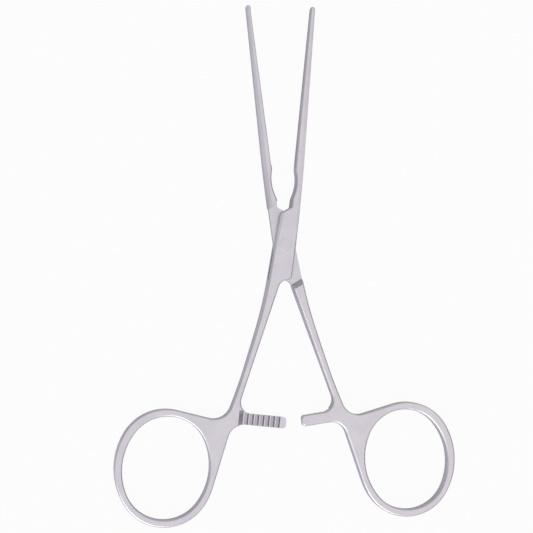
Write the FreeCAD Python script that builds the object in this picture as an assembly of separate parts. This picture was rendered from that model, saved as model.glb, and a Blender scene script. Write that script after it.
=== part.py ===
"""Ring-handled bulldog clamp: two forged halves crossing in a box lock, and the rivet they turn on.

Each half is drawn as it lies when the clamp is closed, with its jaw on the right of the centre line and
its ring on the left, the pivot at the origin and the middle plane of the steel at z = 0.
The tenon half is the mirror image of the box half. Both are then swung open about the pivot,
and lifted until the lower cheek lies on z = 0.
"""

import FreeCAD
import Part
import math
import os

from FreeCAD import Vector

# Pose: half the angle between the open jaws and the closed ones, degrees
half_opening = 7.28

# Jaws: distances from the pivot and from the centre line, millimetres
jaw_length = 56.9
jaw_tip_width = 1.12
jaw_tip_gap = 0.03
jaw_tip_round_share = 0.48
jaw_tip_thickness = 1.7
jaw_heel_y = 18.0
jaw_heel_gap = 0.46
jaw_heel_thickness = 2.5
jaw_heel_round = 0.6
jaw_side_round = 100.0
relief_corner_depth = 1.0
relief_y = 14.3
relief_round = 10.0
neck_y = 11.0
neck_round = 2.5

# Teeth on the inner faces of the jaws
tooth_pitch = 0.8
tooth_depth = 0.14
tooth_row_width = 0.2
groove_width = 0.3
groove_depth = 0.3
ridge_height = 0.15
ridge_clearance = 0.03
tooth_end_margin = 0.9

# Box lock
box_thickness = 4.0
box_half_width = 2.55
box_top_y = 7.2
box_top_x = 1.96
box_top_slope = 35.0
box_bottom_y = 7.75
box_bottom_x = 2.38
box_bottom_slope = 19.4
box_side_slope = 3.6
box_side_round = 50.0
box_corner_round = 0.75
crotch_round = 0.6
crotch_fillet = 2.2
tenon_thickness = 1.3
lock_clearance = 0.05
mortise_clearance = 0.42
upper_shoulder_y = 10.75
upper_shoulder_slope = 36.9
lower_shoulder_y = 9.6
lower_shoulder_slope = 22.6
lower_ramp_length = 1.25

# Rivet
rivet_radius = 1.1
rivet_head_radius = 1.45
rivet_head_depth = 0.4
rivet_clearance = 0.03

# Shank: its outer edge bends at two places
shank_upper_y = 14.9
shank_upper_x = 3.39
shank_upper_width = 1.89
shank_upper_round = 100.0
shank_lower_y = 32.5
shank_lower_x = 6.8
shank_lower_width = 1.52
shank_lower_round = 120.0
shank_end_slope = 14.3
shank_thickness = 2.6

# The steel seen from the side: flat a little beyond the cheeks, arcs where its thickness changes
flat_margin = 2.0
handle_taper_round = 60.0
jaw_taper_round = 18.0

# Backs of the jaw and of the box: beside a ridge line they slope away to the side
back_slope = 16.0
jaw_back_share = 0.5
box_back_width = 0.8

# Finger ring: an oval hole of four arcs, and a wall round it that leans a little outwards at the top
ring_x = 21.78
ring_y = 54.25
ring_hole_width = 20.05
ring_hole_length = 23.65
ring_end_share = 0.93
ring_wall = 1.68
ring_shift = 0.2
ring_lean = 6.5
ring_top_slope = 8.0
ring_side_slope = 10.8
ring_valley_round = 4.1

# Ratchet
bar_y = 41.37
bar_width = 2.65
bar_end_round = 0.8
bar_upper_fillet = 2.8
bar_lower_fillet = 3.7
box_bar_reach = 5.1
tenon_bar_reach = 1.9
ratchet_clearance = 0.1
ratchet_depth = 0.42
ratchet_pitch = 1.25
ratchet_slope_share = 0.8
box_ratchet_start = 5.15
box_ratchet_teeth = 7
tenon_ratchet_teeth = 4
ratchet_ramp = 1.25
ratchet_end_clearance = 0.35
ratchet_cut_margin = 0.6

# Rounding of the rims, made of facets; at most a share of the width of the jaw tip; angles in degrees
edge_round = 0.48
edge_round_limit = 0.44
sharp_angle = 30.0
facet_half_turn = 11.25


def slope_of(angle):
    return math.tan(math.radians(angle))


def meet(point, direction, other, other_direction):
    """Where two lines in the plane cross."""
    cross = direction.x * other_direction.y - direction.y * other_direction.x
    gap = other - point
    along = (gap.x * other_direction.y - gap.y * other_direction.x) / cross
    return point + direction * along


def rounded_path(corners):
    """Straight runs joined by tangent arcs; each corner is a point and the radius of its arc."""
    edges = []
    start = corners[0][0]
    for before, here, after in zip(corners, corners[1:], corners[2:]):
        corner, radius = here
        back = (before[0] - corner).normalize()
        ahead = (after[0] - corner).normalize()
        half_turn = (math.pi - back.getAngle(ahead)) / 2
        first = corner + back * (radius * math.tan(half_turn))
        last = corner + ahead * (radius * math.tan(half_turn))
        middle = (back + ahead).normalize()
        top = corner + middle * (radius / math.cos(half_turn) - radius)
        edges.append(Part.LineSegment(start, first).toShape())
        edges.append(Part.Arc(first, top, last).toShape())
        start = last
    edges.append(Part.LineSegment(start, corners[-1][0]).toShape())
    return edges


def oval_arcs(wall):
    """The four arcs of an oval this far outside the ring hole: centre, radius, first and last angle."""
    side = ring_hole_width / 2
    end_radius = side * ring_end_share
    rise = ring_hole_length / 2 - end_radius
    side_radius = (side ** 2 + rise ** 2 - end_radius ** 2) / (2 * (side - end_radius))
    join = math.degrees(math.atan2(rise, side_radius - side))
    return [
        (Vector(side - side_radius, 0, 0), side_radius + wall, -join, join),
        (Vector(0, rise, 0), end_radius + wall, join, 180 - join),
        (Vector(side_radius - side, 0, 0), side_radius + wall, 180 - join, 180 + join),
        (Vector(0, -rise, 0), end_radius + wall, 180 + join, 360 - join),
    ]


def oval(centre, lean, wall, start, end):
    """The oval's edges from one direction of its outward normal to another, counter-clockwise."""
    turned = FreeCAD.Rotation(Vector(0, 0, 1), lean)
    edges = []
    for lap in (0, 360):
        for middle, radius, low, high in oval_arcs(wall):
            first = max(low + lap, start - lean)
            last = min(high + lap, end - lean)
            if first < last:
                angles = [math.radians(angle) for angle in (first, (first + last) / 2, last)]
                on_arc = [middle + Vector(math.cos(angle), math.sin(angle), 0) * radius for angle in angles]
                edges.append(Part.Arc(*[centre + turned.multVec(point) for point in on_arc]).toShape())
    return edges


def jaw_face_line():
    """Inner face of the jaw: its heel point, its tip point and the direction from heel to tip."""
    heel = Vector(jaw_heel_gap, jaw_heel_y, 0)
    tip = Vector(jaw_tip_gap, jaw_length, 0)
    return heel, tip, (tip - heel).normalize()


def shank_inner_line():
    upper = Vector(shank_upper_width - shank_upper_x, -shank_upper_y, 0)
    lower = Vector(shank_lower_width - shank_lower_x, -shank_lower_y, 0)
    return upper, lower - upper


def outline(bar_reach):
    """Plan of a half with its ring hole; the outline runs counter-clockwise from the ring's right side."""
    hole_centre = Vector(-ring_x, -ring_y, 0)
    ring_centre = hole_centre - Vector(ring_shift, 0, 0)
    ring = oval(ring_centre, ring_lean, ring_wall, 90 - ring_top_slope, 360 - ring_side_slope)
    top_point = ring[0].Vertexes[0].Point
    right_point = ring[-1].Vertexes[-1].Point
    bar_top = Vector(0, bar_width / 2 - bar_y, 0)
    bar_bottom = Vector(0, -bar_width / 2 - bar_y, 0)
    across = Vector(1, 0, 0)
    ring_side = Vector(slope_of(ring_side_slope), 1, 0)
    ring_top = Vector(-1, slope_of(ring_top_slope), 0)
    inner_point, inner_way = shank_inner_line()
    box_bottom = Vector(box_bottom_x, -box_bottom_y, 0)
    box_bottom_way = Vector(1, slope_of(box_bottom_slope), 0)
    box_top = Vector(-box_top_x, box_top_y, 0)
    box_top_way = Vector(1, slope_of(box_top_slope), 0)
    up = Vector(0, 1, 0)
    heel, tip, _ = jaw_face_line()
    tip_round = jaw_tip_width * jaw_tip_round_share
    outer_lower = Vector(-shank_lower_x, -shank_lower_y, 0)
    outer_end_way = Vector(-slope_of(shank_end_slope), -1, 0)
    box_side_way = Vector(-slope_of(box_side_slope), -1, 0)
    shank_way = Vector(shank_lower_x - shank_upper_x, shank_lower_y - shank_upper_y, 0)
    outer_upper = Vector(-shank_upper_x, -shank_upper_y, 0)
    side_bend = meet(box_top, box_side_way, outer_upper, shank_way)
    corners = [
        (right_point, 0),
        (meet(right_point, ring_side, bar_bottom, across), bar_lower_fillet),
        (Vector(bar_reach, bar_bottom.y, 0), bar_end_round),
        (Vector(bar_reach, bar_top.y, 0), bar_end_round),
        (meet(bar_top, across, inner_point, inner_way), bar_upper_fillet),
        (meet(inner_point, inner_way, box_bottom, box_bottom_way), crotch_fillet),
        (box_bottom, box_corner_round),
        (Vector(box_half_width, 0, 0), box_side_round),
        (Vector(box_half_width, jaw_heel_y, 0), jaw_side_round),
        (tip + Vector(jaw_tip_width, 0, 0), tip_round),
        (tip, tip_round),
        (heel, jaw_heel_round),
        (Vector(jaw_heel_gap + relief_corner_depth, relief_y, 0), relief_round),
        (Vector(jaw_heel_gap, neck_y, 0), neck_round),
        (meet(heel, up, box_top, box_top_way), crotch_round),
        (box_top, box_corner_round),
        (side_bend, shank_upper_round),
        (outer_lower, shank_lower_round),
        (meet(outer_lower, outer_end_way, top_point, ring_top), ring_valley_round),
        (top_point, 0),
    ]
    hole = oval(hole_centre, 0, 0, 0, 360)
    return Part.Face(Part.Wire(rounded_path(corners) + ring)).cut(Part.Face(Part.Wire(hole))).Faces[0]


def side_profile(top):
    """The steel below a height, seen from the side: thin jaw tips, a thick box, slimmer handles."""
    far = 2 * jaw_length
    flat = box_top_y + flat_margin
    jaw_rise = (jaw_heel_thickness - jaw_tip_thickness) / 2 / (jaw_length - jaw_heel_y)
    corners = [
        (Vector(0, -far, -shank_thickness / 2), 0),
        (Vector(0, -shank_lower_y, -shank_thickness / 2), handle_taper_round),
        (Vector(0, -flat, -box_thickness / 2), handle_taper_round),
        (Vector(0, flat, -box_thickness / 2), jaw_taper_round),
        (Vector(0, jaw_heel_y, -jaw_heel_thickness / 2), jaw_taper_round),
        (Vector(0, far, jaw_rise * (far - jaw_length) - jaw_tip_thickness / 2), 0),
    ]
    closing = Part.makePolygon([corners[-1][0], Vector(0, far, top), Vector(0, -far, top), corners[0][0]])
    return Part.Face(Part.Wire(rounded_path(corners) + closing.Edges))


def sloped_back(low, high, way):
    """What is taken off beside a ridge line, from its low end up; way is 1 to the right, -1 to the left."""
    lean = math.atan2(low.x - high.x, high.y - low.y)
    width = 4 * box_half_width
    rise = width * slope_of(back_slope)
    kept = side_profile(rise).extrude(Vector(2 * way * width, 0, 2 * rise))
    kept.translate(Vector(-way * width, 0, -rise))
    kept.rotate(Vector(0, 0, 0), Vector(0, 0, 1), math.degrees(lean))
    kept.translate(Vector(low.x + low.y * math.tan(lean), 0, 0))
    corner = Vector(min(0, way * width), low.y, -box_thickness)
    return Part.makeBox(width, 2 * jaw_length, box_thickness, corner).cut(kept)


def sharp_edges(solid):
    """Edges below the middle plane where two faces meet at a sharp angle."""
    found = []
    for edge in solid.Edges:
        middle = edge.valueAt((edge.FirstParameter + edge.LastParameter) / 2)
        faces = solid.ancestorsOfType(edge, Part.Face)
        normals = [face.normalAt(*face.Surface.parameter(middle)) for face in faces]
        turn = math.degrees(normals[0].getAngle(normals[-1]))
        if turn > sharp_angle and edge.BoundBox.ZMin < -lock_clearance:
            found.append(edge)
    return found


def blank(bar_reach):
    """A half before the lock, the ratchet and the teeth are cut: outline by side profile, rims rounded.

    It is made from the middle plane down and then mirrored. Two rounds of chamfers give the rims
    three facets, each of them tangent to the rounding. The backs of jaw and box are sloped after that.
    """
    plan = outline(bar_reach).extrude(Vector(0, 0, -box_thickness))
    width = 4 * ring_x
    side = side_profile(0).extrude(Vector(width, 0, 0))
    side.translate(Vector(-width / 2, 0, 0))
    lower = plan.common(side).Solids[0]
    radius = min(edge_round, jaw_tip_width * edge_round_limit)
    middle_facet = radius * (2 - math.sqrt(2))
    side_facet = radius * (1 - slope_of(facet_half_turn)) - middle_facet
    for depth in (middle_facet, side_facet):
        lower = lower.makeChamfer(depth, sharp_edges(lower))
    box_corner = Vector(box_bottom_x, -box_bottom_y, 0)
    jaw_end = Vector(jaw_tip_gap + jaw_tip_width * (1 - jaw_back_share), jaw_length, 0)
    shank_bend = Vector(-shank_upper_x, -shank_upper_y, 0)
    box_end = Vector(box_back_width - box_top_x, box_top_y, 0)
    lower = lower.cut([sloped_back(box_corner, jaw_end, 1), sloped_back(shank_bend, box_end, -1)])
    return lower.fuse(mirrored(lower, Vector(0, 0, 1))).removeSplitter().Solids[0]


def prism(points, way):
    return Part.Face(Part.makePolygon(points + [points[0]])).extrude(way)


def mirrored(shape, normal):
    return shape.mirror(Vector(0, 0, 0), normal)


def both_faces(shape):
    """A cut for the upper face together with the same cut for the lower one."""
    return [shape, mirrored(shape, Vector(0, 0, 1))]


def mortise():
    """Slot between the cheeks, a disc that the tenon half turns in."""
    inner_point, inner_way = shank_inner_line()
    lower_reach = meet(inner_point, inner_way, Vector(0, 0, 0), Vector(0, 1, 0)).Length
    upper_reach = box_top_y + box_top_x * slope_of(box_top_slope)
    radius = max(lower_reach, upper_reach) + mortise_clearance
    height = tenon_thickness + 2 * lock_clearance
    return Part.makeCylinder(radius, height, Vector(0, 0, -height / 2))


def tenon_recess():
    """What is taken off one face to leave the tenon: a step below the jaw and a ramp above the shank."""
    floor = tenon_thickness / 2
    rise = box_thickness / 2 - floor
    top = box_thickness
    ramp_run = lower_ramp_length * (top - floor) / rise
    far = 4 * box_top_y
    section = [
        Vector(0, 0, floor),
        Vector(0, far, floor),
        Vector(0, far, top),
        Vector(0, -ramp_run, top),
    ]
    slab = prism(section, Vector(2 * far, 0, 0))
    slab.translate(Vector(-far, 0, 0))
    slab.rotate(Vector(0, 0, 0), Vector(0, 0, 1), -lower_shoulder_slope)
    slab.translate(Vector(0, -lower_shoulder_y, 0))
    drop = far * slope_of(upper_shoulder_slope)
    below_shoulder = [
        Vector(-far, upper_shoulder_y + drop, 0),
        Vector(-far, -far, 0),
        Vector(far, -far, 0),
        Vector(far, upper_shoulder_y - drop, 0),
    ]
    return slab.common(prism(below_shoulder, Vector(0, 0, top)))


def ratchet_cut(start, ramp, last_step, teeth, reach):
    """Everything above the teeth of a bar: a ramp at the root, a flat, and steps that face the root."""
    crest = -ratchet_clearance / 2
    top = box_thickness
    rise = (top - crest) / (shank_thickness / 2 - crest)
    section = [(-start - ramp * rise, top), (-start, crest)]
    for i in range(teeth):
        step = last_step - (teeth - 1 - i) * ratchet_pitch
        section.append((step - ratchet_pitch * ratchet_slope_share, crest))
        section.append((step, crest - ratchet_depth))
        section.append((step, crest))
    section += [(2 * reach, crest), (2 * reach, top)]
    low = -bar_y - bar_width / 2 - bar_lower_fillet
    high = -bar_y + bar_width / 2 + ratchet_cut_margin
    points = [Vector(x, low, z) for x, z in section]
    return prism(points, Vector(0, high - low, 0))


def along_jaw(profile, low, high):
    """A prism between two heights; its profile is given along the jaw's inner face and into it."""
    heel, _, way = jaw_face_line()
    inward = Vector(way.y, -way.x, 0)
    start = heel + way * tooth_end_margin
    points = [start + way * along + inward * depth for along, depth in profile]
    strip = prism(points, Vector(0, 0, high - low))
    strip.translate(Vector(0, 0, low))
    return strip


def toothed_length():
    heel, tip, _ = jaw_face_line()
    return (tip - heel).Length - 2 * tooth_end_margin


def jaw_strip(depth, low, high):
    length = toothed_length()
    profile = [(0, -groove_depth), (0, depth), (length, depth), (length, -groove_depth)]
    return along_jaw(profile, low, high)


def tooth_row(low, high):
    """V cuts side by side that leave a row of fine teeth."""
    length = toothed_length()
    count = round(length / tooth_pitch)
    profile = [(0, -groove_depth)]
    for i in range(count):
        profile.append((i * length / count, 0))
        profile.append(((i + 0.5) * length / count, tooth_depth))
    profile += [(length, 0), (length, -groove_depth)]
    return along_jaw(profile, low, high)


def box_half():
    """Half with the cheeks: its bar carries ratchet teeth on top, its jaw two rows of teeth."""
    last_step = ratchet_pitch * box_ratchet_teeth - box_ratchet_start
    inner = groove_width / 2
    outer = inner + tooth_row_width
    cuts = [
        mortise(),
        ratchet_cut(box_ratchet_start, ratchet_ramp, last_step, box_ratchet_teeth, box_bar_reach),
        Part.makeCylinder(rivet_radius, 2 * box_thickness, Vector(0, 0, -box_thickness)),
        jaw_strip(groove_depth, -inner, inner),
    ]
    cuts += both_faces(rivet_countersink())
    cuts += both_faces(tooth_row(inner, outer))
    return blank(box_bar_reach).cut(cuts)


def tenon_half():
    """Half with the tongue, drawn like the box half: teeth under its bar, one raised row on its jaw."""
    start = box_bar_reach + ratchet_end_clearance
    last_step = tenon_bar_reach - ratchet_pitch
    ratchet = ratchet_cut(start, 0, last_step, tenon_ratchet_teeth, box_bar_reach)
    side = groove_width / 2 - ridge_clearance
    cuts = [
        mirrored(ratchet, Vector(0, 0, 1)),
        Part.makeCylinder(rivet_radius + rivet_clearance, 2 * box_thickness, Vector(0, 0, -box_thickness)),
        tooth_row(-side, side),
    ]
    cuts += both_faces(tenon_recess())
    cuts += both_faces(jaw_strip(ridge_height, side, box_thickness))
    return blank(tenon_bar_reach).cut(cuts)


def rivet_countersink():
    base = Vector(0, 0, box_thickness / 2 - rivet_head_depth)
    return Part.makeCone(rivet_radius, rivet_head_radius, rivet_head_depth, base)


def pivot_rivet():
    """Pin flared into both countersinks and ground flush."""
    pin = Part.makeCylinder(rivet_radius, box_thickness, Vector(0, 0, -box_thickness / 2))
    return pin.fuse(both_faces(rivet_countersink())).removeSplitter()


def place(shape, opening):
    """Swing a half about the pivot and stand the clamp on its lower cheek."""
    shape.rotate(Vector(0, 0, 0), Vector(0, 0, 1), opening)
    shape.translate(Vector(0, 0, box_thickness / 2))
    return shape


def main():
    os.makedirs("parts", exist_ok=True)
    nodes = {
        "box_half": place(box_half(), -half_opening),
        "tenon_half": place(mirrored(tenon_half(), Vector(1, 0, 0)), half_opening),
        "pivot_rivet": place(pivot_rivet(), 0),
    }
    for name, shape in nodes.items():
        solid = shape.Solids[0]
        print(name, solid.isValid(), len(shape.Solids), round(solid.Volume, 1), len(solid.Faces))
        solid.exportStep("parts/" + name + ".step")


main()
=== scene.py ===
"""Ring-handled bulldog clamp in satin steel, lying on a pale floor and seen from above."""

import math

import bpy
from mathutils import Matrix, Vector

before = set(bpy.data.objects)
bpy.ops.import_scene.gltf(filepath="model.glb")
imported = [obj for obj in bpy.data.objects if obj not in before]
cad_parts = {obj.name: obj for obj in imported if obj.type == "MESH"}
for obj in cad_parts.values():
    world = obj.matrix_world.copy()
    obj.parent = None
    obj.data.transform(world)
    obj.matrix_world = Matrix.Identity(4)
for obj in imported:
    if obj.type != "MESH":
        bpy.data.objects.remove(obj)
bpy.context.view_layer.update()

# Camera: an 85 mm lens above the clamp, a little to the left and towards the rings, in metres
camera_place = Vector((-0.0555, -0.0146, 0.2918))
camera_forward = Vector((0.1740, 0.0325, -0.9842))
camera_up = Vector((0.0098, 0.9993, 0.0347))
camera_lens = 84.97
camera_sensor = 36.0
camera_near = 0.01
camera_far = 10.0

# Floor: white to the camera, pale grey in the steel, with a faint shadow
floor_size = 4.0
floor_drop = 0.00002
floor_pale = (0.58, 0.565, 0.62, 1.0)
floor_share_seen = 0.95
floor_share_mirrored = 0.15
floor_glow = 1.0

# Studio: a bright ceiling that comes down on the right as far as a dark screen, a dim horizon that glows
# on the left and beyond the rings, and a white backdrop that the camera sees and the metal hardly shows
ceiling_light = 0.75
ceiling_tilt = (0.35, 0.05, 1.0)
ceiling_top = 0.85
ceiling_foot = 0.42
horizon_light = 0.43
horizon_glow = (-0.86, -0.78, 0.0)
left_tint = (0.80, 0.78, 0.88, 1.0)
right_tint = (1.45, 1.36, 1.39, 1.0)
left_end = -0.8
right_end = 0.7
screen_edge = 0.74
screen_full = 0.88
screen_light = 0.06
backdrop_colour = (1.0, 1.0, 1.0, 1.0)
backdrop_light = 0.965
backdrop_share_seen = 1.0
backdrop_share_mirrored = 0.05

# Soft lamp from the side of the rings
lamp_way = Vector((-0.35, -0.72, 0.60))
lamp_strength = 1.0
lamp_spread = 50.0

# Steel: colours from clean to clouded, and the painted shade that darkens recesses
steel_colour = (0.705, 0.705, 0.725, 1.0)
steel_clouded = (0.665, 0.66, 0.685, 1.0)
painted_shade_colour = (0.32, 0.28, 0.33, 1.0)
rivet_colour = (0.695, 0.695, 0.715, 1.0)
rivet_clouded = (0.655, 0.65, 0.675, 1.0)

# Steel: sizes of the blasted grain, the clouds of gloss, the grinding lines and the worn edges, in metres
grain_size = 0.00012
cloud_size = 0.004
line_width = 0.00015
line_length = 0.006
edge_radius = 0.00006
# Reach of the painted shade in recesses
painted_shade_reach = 0.0007
relief = 0.00001

# Steel: fineness of the textures, and the values between which they are spread
grain_detail = 2.0
cloud_detail = 4.0
line_detail = 2.0
ring_waver = 2.0
noise_span = (0.3, 0.7)
cloud_span = (0.35, 0.65)
edge_span = (0.99, 0.90)
# Painted shade: ambient occlusion values between which recesses go from steel to the dark colour
painted_shade_span = (0.60, 0.30)
corner_samples = 6

# Steel: roughness, how much the grain and the worn edges change it, and how deep the relief looks
roughness_span = (0.34, 0.42)
grain_roughness = 0.03
edge_polish = 0.10
line_relief = 0.5
relief_strength = 0.2


def new_material(name):
    material = bpy.data.materials.new(name)
    material.use_nodes = True
    nodes = material.node_tree.nodes
    nodes.clear()
    return material, nodes, material.node_tree.links


def noise(nodes, links, place, size, detail):
    """Noise with features of about this size, in metres."""
    texture = nodes.new("ShaderNodeTexNoise")
    texture.inputs["Scale"].default_value = 1 / size
    texture.inputs["Detail"].default_value = detail
    links.new(place, texture.inputs["Vector"])
    return texture.outputs["Fac"]


def remap(nodes, links, value, old, new):
    scale = nodes.new("ShaderNodeMapRange")
    for socket, number in zip(("From Min", "From Max", "To Min", "To Max"), old + new):
        scale.inputs[socket].default_value = number
    links.new(value, scale.inputs["Value"])
    return scale.outputs["Result"]


def blend(nodes, links, share, first, second):
    """Mix two colours; each is a socket or a fixed colour."""
    mix = nodes.new("ShaderNodeMix")
    mix.data_type = "RGBA"
    links.new(share, mix.inputs["Factor"])
    for name, colour in (("A", first), ("B", second)):
        socket = next(s for s in mix.inputs if s.name == name and s.type == "RGBA")
        if isinstance(colour, tuple):
            socket.default_value = colour
        else:
            links.new(colour, socket)
    return next(s for s in mix.outputs if s.type == "RGBA")


def calculate(nodes, links, operation, first, second):
    node = nodes.new("ShaderNodeMath")
    node.operation = operation
    for socket, value in zip(node.inputs, (first, second)):
        if isinstance(value, float):
            socket.default_value = value
        else:
            links.new(value, socket)
    return node.outputs["Value"]


def along(nodes, links, direction, way):
    """How far a direction goes along a fixed one."""
    node = nodes.new("ShaderNodeVectorMath")
    node.operation = "DOT_PRODUCT"
    node.inputs[1].default_value = way
    links.new(direction, node.inputs[0])
    return node.outputs["Value"]


def satin_steel(name, bright, clouded, rings):
    """Matt satin steel with blasted grain, faint grinding lines, clouds of gloss, polished edges and
    painted shade that darkens recesses. The grinding lines run along the clamp, or in rings around the
    pivot."""
    material, nodes, links = new_material(name)
    output = nodes.new("ShaderNodeOutputMaterial")
    shader = nodes.new("ShaderNodeBsdfPrincipled")
    links.new(shader.outputs["BSDF"], output.inputs["Surface"])
    shader.inputs["Metallic"].default_value = 1.0
    place = nodes.new("ShaderNodeTexCoord").outputs["Object"]

    cloud = noise(nodes, links, place, cloud_size, cloud_detail)
    grain = noise(nodes, links, place, grain_size, grain_detail)
    if rings:
        lines = nodes.new("ShaderNodeTexWave")
        lines.wave_type = "RINGS"
        lines.rings_direction = "Z"
        lines.inputs["Scale"].default_value = 1 / line_width
        lines.inputs["Distortion"].default_value = ring_waver
        links.new(place, lines.inputs["Vector"])
        line = lines.outputs["Fac"]
    else:
        stretch = nodes.new("ShaderNodeMapping")
        stretch.inputs["Scale"].default_value = (1.0, line_width / line_length, 1.0)
        links.new(place, stretch.inputs["Vector"])
        line = noise(nodes, links, stretch.outputs["Vector"], line_width, line_detail)

    rounded = nodes.new("ShaderNodeBevel")
    rounded.samples = corner_samples
    rounded.inputs["Radius"].default_value = edge_radius
    facing = nodes.new("ShaderNodeVectorMath")
    facing.operation = "DOT_PRODUCT"
    shape = nodes.new("ShaderNodeNewGeometry")
    links.new(rounded.outputs["Normal"], facing.inputs[0])
    links.new(shape.outputs["Normal"], facing.inputs[1])
    edge = remap(nodes, links, facing.outputs["Value"], edge_span, (0.0, 1.0))

    # Painted shade: where ambient occlusion on the clamp itself finds a recess, the base colour goes dark
    open_air = nodes.new("ShaderNodeAmbientOcclusion")
    open_air.samples = corner_samples
    open_air.only_local = True
    open_air.inputs["Distance"].default_value = painted_shade_reach
    painted_shade = remap(nodes, links, open_air.outputs["AO"], painted_shade_span, (0.0, 1.0))

    patchy = remap(nodes, links, cloud, cloud_span, (0.0, 1.0))
    colour = blend(nodes, links, patchy, bright, clouded)
    colour = blend(nodes, links, painted_shade, colour, painted_shade_colour)
    links.new(colour, shader.inputs["Base Color"])

    roughness = remap(nodes, links, cloud, noise_span, roughness_span)
    speck = remap(nodes, links, grain, noise_span, (-grain_roughness, grain_roughness))
    roughness = calculate(nodes, links, "ADD", roughness, speck)
    worn = calculate(nodes, links, "MULTIPLY", edge, edge_polish)
    roughness = calculate(nodes, links, "SUBTRACT", roughness, worn)
    links.new(roughness, shader.inputs["Roughness"])

    height = calculate(nodes, links, "ADD", grain, calculate(nodes, links, "MULTIPLY", line, line_relief))
    bump = nodes.new("ShaderNodeBump")
    bump.inputs["Strength"].default_value = relief_strength
    bump.inputs["Distance"].default_value = relief
    links.new(height, bump.inputs["Height"])
    links.new(rounded.outputs["Normal"], bump.inputs["Normal"])
    links.new(bump.outputs["Normal"], shader.inputs["Normal"])
    return material


def dress_nodes():
    steel = satin_steel("satin_steel", steel_colour, steel_clouded, False)
    rivet = satin_steel("rivet_steel", rivet_colour, rivet_clouded, True)
    for name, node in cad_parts.items():
        for slot in node.material_slots:
            slot.material = rivet if name == "pivot_rivet" else steel


def share_shown(nodes, links, seen, mirrored):
    """Share of a white ground that the camera sees, and the share that metal and glass show."""
    path = nodes.new("ShaderNodeLightPath").outputs
    shown = calculate(nodes, links, "MAXIMUM", path["Is Glossy Ray"], path["Is Transmission Ray"])
    shown = calculate(nodes, links, "MULTIPLY", shown, mirrored)
    direct = calculate(nodes, links, "MULTIPLY", path["Is Camera Ray"], seen)
    return calculate(nodes, links, "MAXIMUM", direct, shown)


def make_floor():
    bpy.ops.mesh.primitive_plane_add(size=floor_size, location=(0, 0, -floor_drop))
    floor = bpy.context.object
    floor.name = "floor"
    material, nodes, links = new_material("floor_white")
    output = nodes.new("ShaderNodeOutputMaterial")
    diffuse = nodes.new("ShaderNodeBsdfDiffuse")
    diffuse.inputs["Color"].default_value = floor_pale
    glow = nodes.new("ShaderNodeEmission")
    glow.inputs["Strength"].default_value = floor_glow
    mix = nodes.new("ShaderNodeMixShader")
    links.new(share_shown(nodes, links, floor_share_seen, floor_share_mirrored), mix.inputs["Fac"])
    links.new(diffuse.outputs[0], mix.inputs[1])
    links.new(glow.outputs[0], mix.inputs[2])
    links.new(mix.outputs[0], output.inputs["Surface"])
    floor.data.materials.append(material)


def make_world():
    """Ceiling, horizon and dark screen, lavender on the left and rosy on the right, and the backdrop."""
    world = bpy.data.worlds.new("studio")
    bpy.context.scene.world = world
    world.use_nodes = True
    nodes, links = world.node_tree.nodes, world.node_tree.links
    nodes.clear()
    output = nodes.new("ShaderNodeOutputWorld")
    background = nodes.new("ShaderNodeBackground")
    direction = nodes.new("ShaderNodeTexCoord").outputs["Generated"]
    split = nodes.new("ShaderNodeSeparateXYZ")
    links.new(direction, split.inputs[0])
    up = along(nodes, links, direction, ceiling_tilt)
    ceiling = remap(nodes, links, up, (ceiling_foot, ceiling_top), (horizon_light, ceiling_light))
    strength = calculate(nodes, links, "MAXIMUM", ceiling, along(nodes, links, direction, horizon_glow))
    screen = remap(nodes, links, split.outputs["X"], (screen_edge, screen_full), (1.0, screen_light))
    strength = calculate(nodes, links, "MULTIPLY", strength, screen)
    side = remap(nodes, links, split.outputs["X"], (left_end, right_end), (0.0, 1.0))
    links.new(blend(nodes, links, side, left_tint, right_tint), background.inputs["Color"])
    links.new(strength, background.inputs["Strength"])
    backdrop = nodes.new("ShaderNodeBackground")
    backdrop.inputs["Color"].default_value = backdrop_colour
    backdrop.inputs["Strength"].default_value = backdrop_light
    mix = nodes.new("ShaderNodeMixShader")
    links.new(share_shown(nodes, links, backdrop_share_seen, backdrop_share_mirrored), mix.inputs["Fac"])
    links.new(background.outputs[0], mix.inputs[1])
    links.new(backdrop.outputs[0], mix.inputs[2])
    links.new(mix.outputs[0], output.inputs["Surface"])


def make_lamp():
    data = bpy.data.lights.new("side_lamp", "SUN")
    data.energy = lamp_strength
    data.angle = math.radians(lamp_spread)
    lamp = bpy.data.objects.new("side_lamp", data)
    lamp.rotation_mode = "QUATERNION"
    lamp.rotation_quaternion = lamp_way.to_track_quat("Z", "Y")
    bpy.context.scene.collection.objects.link(lamp)


def make_camera():
    data = bpy.data.cameras.new("camera")
    data.lens = camera_lens
    data.sensor_width = camera_sensor
    data.clip_start = camera_near
    data.clip_end = camera_far
    camera = bpy.data.objects.new("camera", data)
    bpy.context.scene.collection.objects.link(camera)
    back = -camera_forward.normalized()
    right = camera_up.cross(back).normalized()
    up = back.cross(right)
    turn = Matrix((right, up, back)).transposed().to_4x4()
    camera.matrix_world = Matrix.Translation(camera_place) @ turn
    bpy.context.scene.camera = camera


dress_nodes()
make_floor()
make_world()
make_lamp()
make_camera()
bpy.context.scene.view_settings.view_transform = "Standard"
